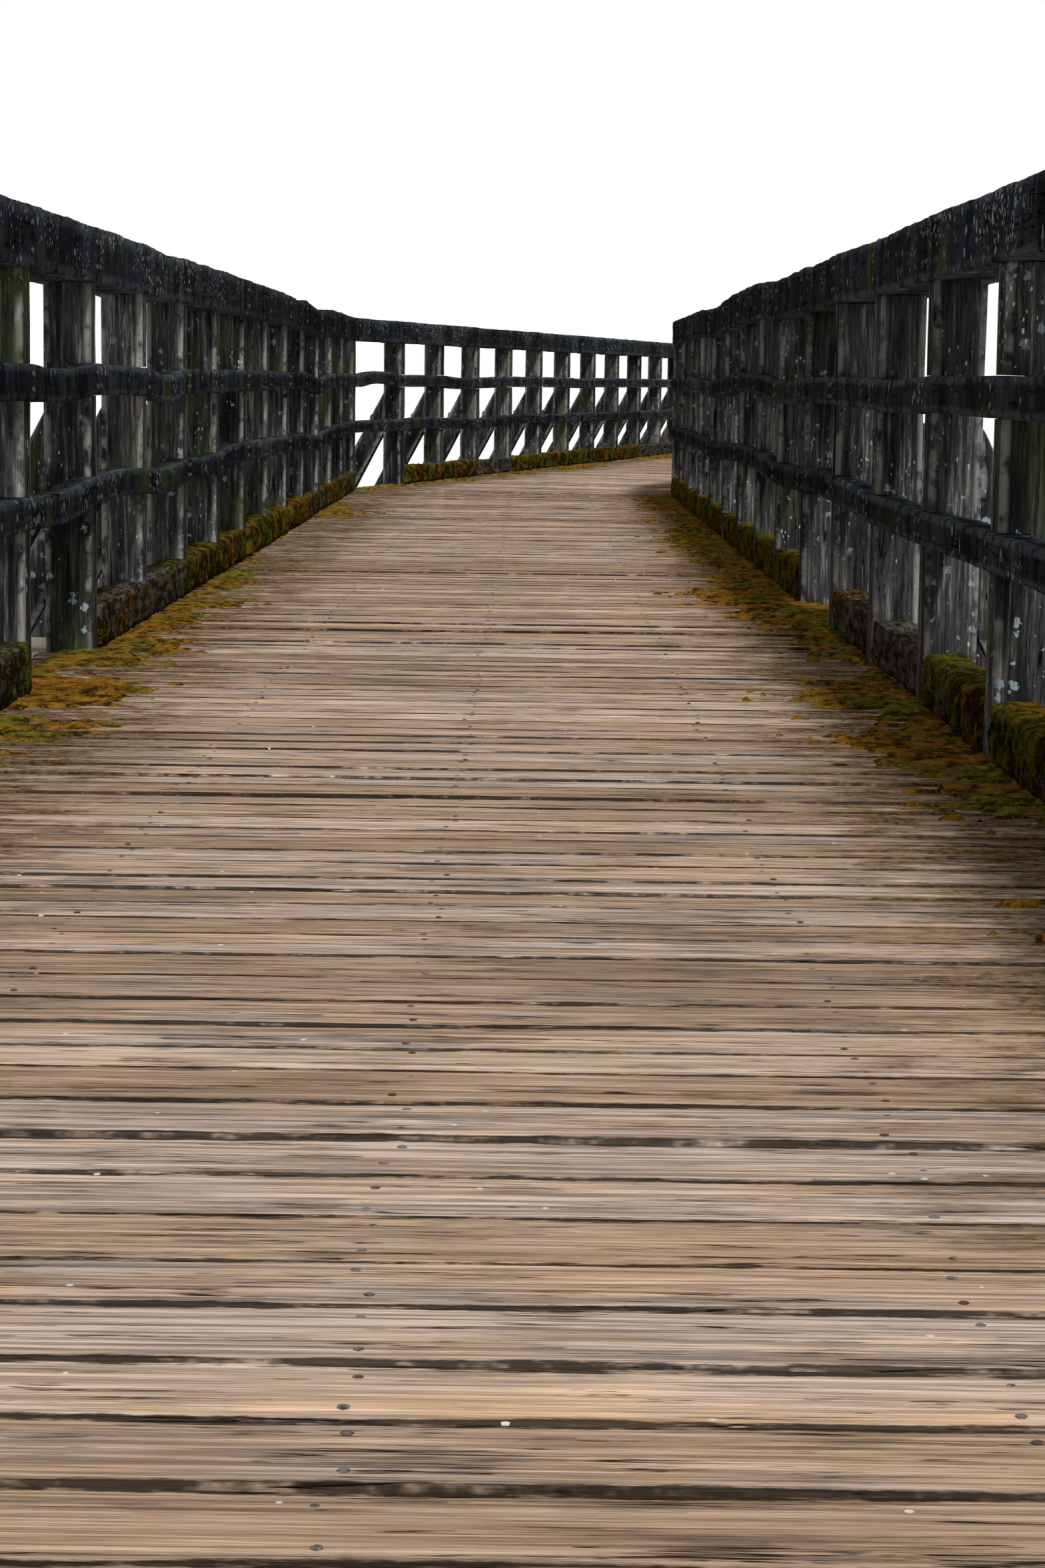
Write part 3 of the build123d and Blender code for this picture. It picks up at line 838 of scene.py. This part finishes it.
def railing_wood(name, grains, dark, middle, pale, pale_share, algae, rosettes, flecks, relief):
    """Near-black weathered wood, its own dark colour deepened with painted shade: drips and fibres in its
    colour, splits, algae, lichen, and edges paler partly from wear and partly as painted highlight. grains
    holds the scales of its drips, short streaks, fibres and splits."""
    black, split_black = (0.004, 0.0035, 0.003), (0.003, 0.0025, 0.002)
    algae_green = (0.040, 0.056, 0.012)
    rosette_grey, fleck_grey = (0.21, 0.27, 0.30), (0.50, 0.54, 0.55)
    drips, shorts, fibres, splits = grains
    s = Shader(name)
    place = s.attribute("local")
    site = s.attribute("site")
    streak = s.streaks(place, drips, 4, 0.65)
    short = s.streaks(place, shorts, 4, 0.75)
    fibre = s.streaks(place, fibres, 3, 0.65)
    broad = s.streaks(place, (7, 7, 1.8), 3, 0.6)
    patch = s.noise(place, 4.0, 4, 0.65)
    base = s.total((streak, 0.34), (short, 0.26), (broad, 0.40))
    silver = s.total((streak, 0.42), (short, 0.33), (broad, 0.25))
    colour = s.mix(s.between(base, 0.42, 0.57), dark, middle)
    colour = s.cover(colour, s.between(silver, 0.53, 0.61), pale_share, pale)
    colour = s.vary(colour, fibre, 0.55, 0.9)
    colour = s.cover(colour, s.between(fibre, 0.40, 0.33), 0.7, black)
    seam = s.off_middle(s.streaks(place, splits, 2, 0.5))
    split = s.times(s.between(seam, 0.010, 0.003), s.between(patch, 0.50, 0.56))
    colour = s.mix(split, colour, split_black)
    # Paler along the edges: partly wear, partly painted highlight on the arrises.
    worn = s.between(s.noise(place, 13, 3, 0.7), 0.38, 0.56)
    worn = s.times(s.between(s.attribute("edge"), 0.35, 0.9), worn)
    colour = s.cover(colour, worn, pale_share, pale)
    green = s.times(s.between(s.noise(place, 2.6, 3, 0.6), 0.54, 0.66), s.between(base, 0.38, 0.54))
    colour = s.cover(colour, green, algae, algae_green)
    cluster = s.between(s.noise(place, 3.6, 2), 0.47, 0.58)
    rosette = s.times(lichen(s, place, 0.03, rosettes), cluster)
    rosette = s.times(rosette, s.between(short, 0.36, 0.52))
    colour = s.cover(colour, rosette, 0.85, rosette_grey)
    raised = s.between(s.add(s.split(site)[2], s.times(patch, 0.12)), DECK_TOP + 1.02, DECK_TOP + 1.13)
    fleck = lichen(s, s.stretch(place, (1, 1, 0.42)), 0.0065, flecks)
    fleck = s.times(fleck, s.between(s.add(s.noise(place, 2.4, 3), s.times(raised, 0.10)), 0.52, 0.64))
    colour = s.cover(colour, fleck, 0.85, fleck_grey)
    colour = s.vary(colour, s.attribute("tone"), 0.7, 0.6)
    height = s.total((fibre, 0.40), (streak, 0.25), (short, 0.35))
    height = s.math("SUBTRACT", height, s.times(split, 0.5))
    return s.finish(colour, 0.85, height, relief)


def deck_wood():
    """Planks worn pale where people walk, ridged by weather, with soil beside the kerbs."""
    valley, ridge, pale_grain_and_highlight = (0.24, 0.160, 0.106), (0.56, 0.383, 0.257), (0.84, 0.63, 0.455)
    amber, stain, trodden = (0.58, 0.35, 0.15), (0.10, 0.070, 0.052), (0.13, 0.10, 0.080)
    silver_valley, silver_ridge = (0.16, 0.155, 0.16), (0.50, 0.47, 0.46)
    crack_brown, edge_dirt_and_shade, grit_white = (0.030, 0.021, 0.015), (0.016, 0.012, 0.009), (0.62, 0.58, 0.50)
    wet_soil, dry_soil = (0.024, 0.015, 0.007), (0.145, 0.082, 0.027)
    s = Shader("deck_wood")
    place = s.attribute("local")
    site = s.attribute("site")
    tone = s.attribute("tone")
    grain = s.streaks(place, (2.6, 120, 60), 5, 0.72)
    fine = s.streaks(place, (10, 460, 200), 2, 0.6)
    patch = s.streaks(place, (2.4, 11, 4), 4, 0.65)
    blotch = s.streaks(place, (5, 24, 5), 4, 0.7)
    wear = s.streaks(site, (2.2, 3.0, 1), 4, 0.6)
    frayed = s.streaks(place, (9, 30, 9), 4, 0.75)
    ridges = s.total((grain, 0.75), (fine, 0.25))
    colour = s.mix(s.between(ridges, 0.39, 0.58), valley, ridge)
    # The lightest grain on the ridges: partly the grain's own colour, partly painted highlight.
    colour = s.cover(colour, s.between(ridges, 0.53, 0.66), 0.70, pale_grain_and_highlight)
    colour = s.cover(colour, s.between(tone, 0.80, 0.93), 0.40, amber)
    grey = s.between(s.total((patch, 0.74), (tone, 0.26)), 0.43, 0.60)
    silver = s.mix(s.between(ridges, 0.44, 0.60), silver_valley, silver_ridge)
    colour = s.cover(colour, grey, 0.47, silver)
    colour = s.cover(colour, s.between(blotch, 0.54, 0.68), 0.5, stain)
    colour = s.cover(colour, s.between(wear, 0.52, 0.68), 0.32, trodden)
    crack = s.between(s.off_middle(s.streaks(place, (1.5, 62, 30), 3, 0.6)), 0.004, 0.016)
    crack = s.math("MAXIMUM", crack, s.between(blotch, 0.56, 0.48))
    colour = s.mix(crack, crack_brown, colour)
    # Near-black along each board's edges and over the faces in its gaps: partly dirt, partly painted shade
    # of the gaps.
    ragged = s.add(s.attribute("edge"), s.swing(frayed, 1.3))
    colour = s.cover(colour, s.between(ragged, 0.74, 1.02), 0.92, edge_dirt_and_shade)
    colour = s.vary(colour, tone, 0.68, 0.58)
    distance, pick = s.cells(site, 34)
    grit = s.times(s.between(distance, 0.13, 0.10), s.between(pick, 0.93, 0.94))
    colour = s.mix(grit, colour, grit_white)
    across = s.math("ABSOLUTE", s.split(site)[0])
    dirt = s.add(across, s.swing(s.streaks(site, (5, 9, 1), 4, 0.7), 0.9))
    dirt = s.times(s.between(dirt, 0.50, 0.82), s.between(frayed, 0.68, 0.42))
    dirt = s.times(dirt, s.between(across, 1.165, 1.09))
    soil = s.mix(s.between(s.noise(site, 70, 3, 0.7), 0.42, 0.58), wet_soil, dry_soil)
    colour = s.cover(colour, dirt, 0.92, soil)
    height = s.total((grain, 0.6), (fine, 0.25), (crack, 0.6))
    return s.finish(colour, 0.8, height, 0.004)


def moss_colour(s, place, low, high, greener=0.0):
    """Moss from ochre brown to olive green, with painted shade in its hollows and between its tufts, and
    tips lighter, partly their own paler colour and partly painted highlight.
    """
    lift = s.attribute("lift")
    tuft = s.noise(place, 150, 4, 0.8)
    clump = s.total((s.noise(place, 30, 4, 0.75), 0.6), (lift, 0.34))
    hue = s.add(s.noise(place, 3.6, 4, 0.65), greener)
    # The dark end of each mix below is painted shade in the moss's hollows, set by how high the moss stands.
    raised = s.between(clump, 0.38, 0.60)
    green = s.mix(raised, (0.014, 0.016, 0.003), (0.140, 0.134, 0.015))
    brown = s.mix(raised, (0.020, 0.011, 0.003), (0.255, 0.118, 0.014))
    moss = s.mix(s.between(hue, low, high), brown, green)
    # Lighter tips: partly the moss's own paler tips, partly painted highlight. Near-black between the tufts:
    # painted shade.
    moss = s.cover(moss, s.between(tuft, 0.53, 0.66), 0.65, (0.37, 0.205, 0.036))
    moss = s.cover(moss, s.between(tuft, 0.47, 0.38), 0.6, (0.016, 0.012, 0.004))
    return moss, s.add(s.times(tuft, 0.8), clump)


def moss_cover():
    """The moss that lies on the deck, greener beside the kerbs."""
    s = Shader("deck_moss")
    site = s.attribute("site")
    by_kerb = s.between(s.math("ABSOLUTE", s.split(site)[0]), 0.74, 0.93)
    colour, height = moss_colour(s, site, 0.54, 0.68, s.times(by_kerb, 0.085))
    return s.finish(colour, 0.95, height, 0.006)


def kerb_wood():
    """Kerb timber, bare and grey or under moss."""
    s = Shader("kerb_wood")
    place = s.attribute("local")
    streak = s.streaks(place, (70, 9, 40), 4, 0.65)
    blotch = s.noise(place, 16, 3, 0.6)
    bare = s.mix(s.between(streak, 0.40, 0.60), (0.014, 0.012, 0.010), (0.085, 0.072, 0.056))
    bare = s.cover(bare, s.between(blotch, 0.5, 0.66), 0.7, (0.022, 0.018, 0.010))
    moss, height = moss_colour(s, place, 0.38, 0.55)
    mask = s.add(s.attribute("moss"), s.swing(s.noise(place, 34, 3, 0.7), 1.3))
    mask = s.between(mask, 0.22, 0.40)
    # The kerb's moss is the same moss shaded to 0.6: partly its own darker colour, partly painted shade.
    colour = s.mix(mask, bare, s.shade(moss, 0.60))
    height = s.add(s.times(mask, height), s.times(streak, 0.35))
    return s.finish(colour, 0.93, height, 0.006)


def below_wood(name, main):
    """Brown-grey weathered timber under the deck, with its grain along its main axis."""
    scale, fine_scale = [60, 60, 60], [260, 260, 260]
    scale[main], fine_scale[main] = 2.5, 8
    s = Shader(name)
    place = s.attribute("local")
    grain = s.streaks(place, scale, 4, 0.65)
    fine = s.streaks(place, fine_scale, 2, 0.6)
    stain = s.noise(place, 1.9, 3, 0.6)
    colour = s.mix(s.between(grain, 0.36, 0.64), (0.075, 0.060, 0.045), (0.23, 0.19, 0.15))
    colour = s.cover(colour, s.between(stain, 0.5, 0.68), 0.65, (0.06, 0.058, 0.036))
    colour = s.cover(colour, s.between(fine, 0.58, 0.72), 0.4, (0.33, 0.29, 0.24))
    colour = s.cover(colour, s.between(s.attribute("edge"), 0.5, 1.0), 0.25, (0.28, 0.24, 0.19))
    colour = s.vary(colour, s.attribute("tone"), 0.7, 0.6)
    height = s.total((grain, 0.6), (fine, 0.35))
    return s.finish(colour, 0.88, height, 0.003)


def old_steel(name, clean, rusted):
    """Dull steel on fixings, spotted with rust."""
    s = Shader(name)
    place = s.attribute("local")
    rust = s.between(s.add(s.noise(place, 90, 3), s.times(s.attribute("tone"), 0.25)), 0.5, 0.7)
    colour = s.mix(rust, clean, rusted)
    return s.finish(colour, 0.6, s.noise(place, 240, 2), 0.0006, 0.5, 0.3)


def rail_screws(rail, stretch, side, centres):
    """Where a pair of screws goes through a rail into each post, and the way that they face."""
    places = []
    for points in solids(rail):
        p = stretch.local(points)
        face = side * np.abs(p[:, 0]).min()
        begin, end = p[:, 1].min(), p[:, 1].max()
        on_face = p[np.abs(p[:, 0] - face) < SAME_FACE]
        spots, lows, highs = face_profile(on_face, 1, 2)
        for centre in centres:
            if not begin - BUTT_AT_POST < centre < end + BUTT_AT_POST:
                continue
            along = min(max(centre, begin + SCREW_FROM_BUTT), end - SCREW_FROM_BUTT)
            low, high = np.interp(along, spots, lows), np.interp(along, spots, highs)
            for share in SCREW_SHARES:
                at = np.array([face - side * SCREW_SUNK, along, low + (high - low) * share])
                places.append((stretch.world(at), -side * stretch.axes[0]))
    return places


def railing_screws():
    """Pairs of screws through every rail into every post, two pairs where rails meet."""
    places = []
    for railing, stretch, side in railings():
        centres = [stretch.local(points).mean(0)[1] for points in solids(railing + "_posts")]
        for rail in ("top_rail", "mid_rail", "lower_rail"):
            places += rail_screws(f"{railing}_{rail}", stretch, side, centres)
    return places


def brace_bolts():
    """Two bolts through every raking brace: one into its post and one into the cross-beam's end."""
    places = []
    for railing, _, side in railings():
        for points in solids(railing + "_braces"):
            stretch = own_stretch(railing + "_braces", points)
            p = stretch.local(points)
            foot, _, toe, contact, face, tip = brace_outline(p)
            lean = np.array([side * (tip - foot), 0, toe - face])
            for height in (foot + BOLT_ABOVE_FOOT, contact + BOLT_UP_TIP * (tip - contact)):
                across = np.interp(height, [foot, tip], [toe, face])
                at = np.array([side * across, p[:, 1].mean(), height])
                places.append((stretch.world(at), stretch.axes.T @ lean))
    return places


def board_nails(stretch, boards, rows, rng):
    """Two nails into each joist through every board."""
    places = []
    for left, right, front, back, top in boards:
        for row in rows:
            if not left + NAIL_FROM_END < row < right - NAIL_FROM_END:
                continue
            for share in NAIL_SHARES:
                across = row + rng.uniform(-NAIL_WANDER, NAIL_WANDER)
                at = np.array([across, front + (back - front) * share, top - NAIL_SUNK])
                places.append((stretch.world(at), (0, 0, 1)))
    return places


# Post colours: the wood's own weathered grey, darkened as painted shade.
post_wood = railing_wood(
    "post_wood", grains=((90, 90, 3.2), (170, 170, 14), (330, 330, 16), (26, 26, 0.9)),
    dark=(0.0105, 0.0108, 0.0115), middle=(0.056, 0.055, 0.054), pale=(0.245, 0.238, 0.222),
    pale_share=0.62, algae=0.66, rosettes=0.50, flecks=0.24, relief=0.003,
)
# Rail colours: the wood's own dark grey, darkened further and tinted blue as painted shade under skylight.
rail_wood = railing_wood(
    "rail_wood", grains=((70, 95, 4.5), (120, 150, 20), (60, 6, 60), (26, 0.9, 26)),
    dark=(0.0080, 0.0090, 0.0108), middle=(0.021, 0.0245, 0.0295), pale=(0.125, 0.145, 0.165),
    pale_share=0.26, algae=0.55, rosettes=0.30, flecks=0.30, relief=0.0012,
)
structure_wood = [below_wood(f"{way}_timber", main) for main, way in enumerate(("cross", "long", "upright"))]
planks = deck_wood()
kerb_timber = kerb_wood()
deck_moss = moss_cover()
nail_steel = old_steel("nail_steel", (0.16, 0.155, 0.15), (0.075, 0.036, 0.020))
dark_steel = old_steel("dark_steel", (0.045, 0.044, 0.043), (0.040, 0.021, 0.013))

# The moss of each railing: how much its kerbs carry, the bays where they carry more or less, how rich
# it is on the deck, and the seed of its pattern there
BAY = NEAR_LENGTH / len(solids("near_left_posts"))
MOSS = {
    "near_left": (0.10, {4: -0.30, 5: -0.30, 7: -0.05}, 0.42, 100),
    "near_right": (0.45, {6: -0.35, 7: -0.55}, 0.95, 107),
    "far_left": (0.45, {3: -0.7, 9: -0.7, 10: -0.7, 11: -0.7}, 0.40, 97),
    "far_right": (0.45, {}, 0.50, 104),
}

# The railings and kerbs
for railing, _, _ in railings():
    dress(
        railing + "_posts", post_wood, post_corners,
        sides=(4, 5, 4, 5), bevel=0.006, wear=0.0022, grain=(26, 26, 2.2),
    )
    dress(
        railing + "_braces", post_wood, brace_corners,
        sides=(2, 3, 2, 3), bevel=0.004, wear=0.0015, grain=(20, 20, 3),
    )
    rails(railing + "_top_rail", (5, 4, 3, 2), 0.03, 0.003, crusted_top)
    for rail in ("_mid_rail", "_lower_rail"):
        rails(railing + rail, (3, 2, 3, 2), 0.06, 0.0022)
    dress(
        railing + "_kerbs", kerb_timber, kerb_corners,
        sides=(9, 7, 1, 1), bevel=0.013, wear=0.005, grain=(16, 6, 16), moss=kerb_coat(railing),
    )

# The deck
joist_rows = sorted({round(float(near.local(points).mean(0)[0]), 2) for points in solids("near_joists")})
nail_rng = random.Random("nails")
nails = []
joints = {near: [], far: []}
for node in DECK_NODES:
    stretch = stretch_of(node)
    boards = deck(node, planks)
    joints[stretch] += [board[3] for board in boards]
    nails += board_nails(stretch, boards, joist_rows, nail_rng)

# Moss on the deck beside the kerbs
for railing, stretch, side in railings():
    moss_strip(railing, stretch, side, joints[stretch], deck_moss)

# Fixings
studs("board_nails", nails, NAIL_RADIUS, NAIL_HEIGHT, 6, nail_steel)
studs("railing_screws", railing_screws(), SCREW_RADIUS, SCREW_HEIGHT, 8, dark_steel)
studs("brace_bolts", brace_bolts(), BOLT_RADIUS, BOLT_HEIGHT, 6, dark_steel)

# What carries the deck: the axis along each beam, the two across it, its strips a side and their length
STRUCTURE = (
    ("joists", 1, 0, 2, 1, 0.25),
    ("girders", 1, 0, 2, 2, 0.2),
    ("cross_beams", 0, 1, 2, 2, 0.12),
    ("bent_caps", 0, 1, 2, 3, 0.12),
    ("sills", 0, 1, 2, 3, 0.12),
    ("bent_posts", 2, 1, 0, 3, 0.08),
    ("sway_braces", 0, 1, 2, 2, 0.12),
)
for place in ("near", "far"):
    for name, *shape in STRUCTURE:
        plain_beams(f"{place}_{name}", *shape)


def pale_floor():
    """A plain pale floor under the bridge."""
    bpy.ops.mesh.primitive_plane_add(size=FLOOR_SIZE, location=(0, 0, 0))
    floor = bpy.context.object
    floor.name = "studio_floor"
    paint = bpy.data.materials.new("studio_floor")
    paint.use_nodes = True
    surface = paint.node_tree.nodes["Principled BSDF"]
    surface.inputs["Base Color"].default_value = FLOOR_COLOUR
    surface.inputs["Roughness"].default_value = 0.9
    floor.data.materials.append(paint)
    return floor


def studio_world():
    """Soft light from all round, with plain white behind the bridge and in what is mirrored."""
    world = bpy.data.worlds.new("studio")
    s = Nodes(world)
    lights = [s.node("Background", (1, 1, 1, 1), glow).outputs[0] for glow in (SKY_LIGHT, BACKGROUND_WHITE)]
    rays = s.node("LightPath").outputs
    seen = rays["Is Camera Ray"]
    for kind in ("Is Glossy Ray", "Is Transmission Ray"):
        seen = s.node("Math", seen, rays[kind], operation="MAXIMUM").outputs[0]
    mixer = s.node("MixShader", seen, *lights)
    s.node("OutputWorld", mixer.outputs[0])
    return world


def key_light():
    """A broad lamp from behind the camera and above."""
    key = bpy.data.lights.new("key", "SUN")
    key.energy = SUN_STRENGTH
    key.angle = math.radians(SUN_SIZE)
    lamp = bpy.data.objects.new("key", key)
    lamp.rotation_euler = Euler((math.radians(SUN_TILT), 0, math.radians(SUN_TURN)))
    bpy.context.scene.collection.objects.link(lamp)


def photo_camera():
    """The camera where the photograph was taken from."""
    lens = bpy.data.cameras.new("camera")
    lens.lens = LENS
    lens.sensor_width = SENSOR
    lens.clip_start = NEAR_CLIP
    lens.clip_end = FAR_CLIP
    camera = bpy.data.objects.new("camera", lens)
    camera.location = (EYE_ACROSS, EYE_ALONG, DECK_TOP + EYE_ABOVE_DECK)
    turned = Euler((math.radians(90 - LOOK_DOWN), 0, math.radians(LOOK_LEFT))).to_matrix()
    camera.rotation_euler = (turned @ Matrix.Rotation(math.radians(ROLL), 3, "Z")).to_euler()
    bpy.context.scene.collection.objects.link(camera)
    return camera


# Floor, light and camera
floor = pale_floor()
key_light()
bpy.context.scene.world = studio_world()
bpy.context.scene.camera = photo_camera()
bpy.context.scene.view_settings.view_transform = "Standard"
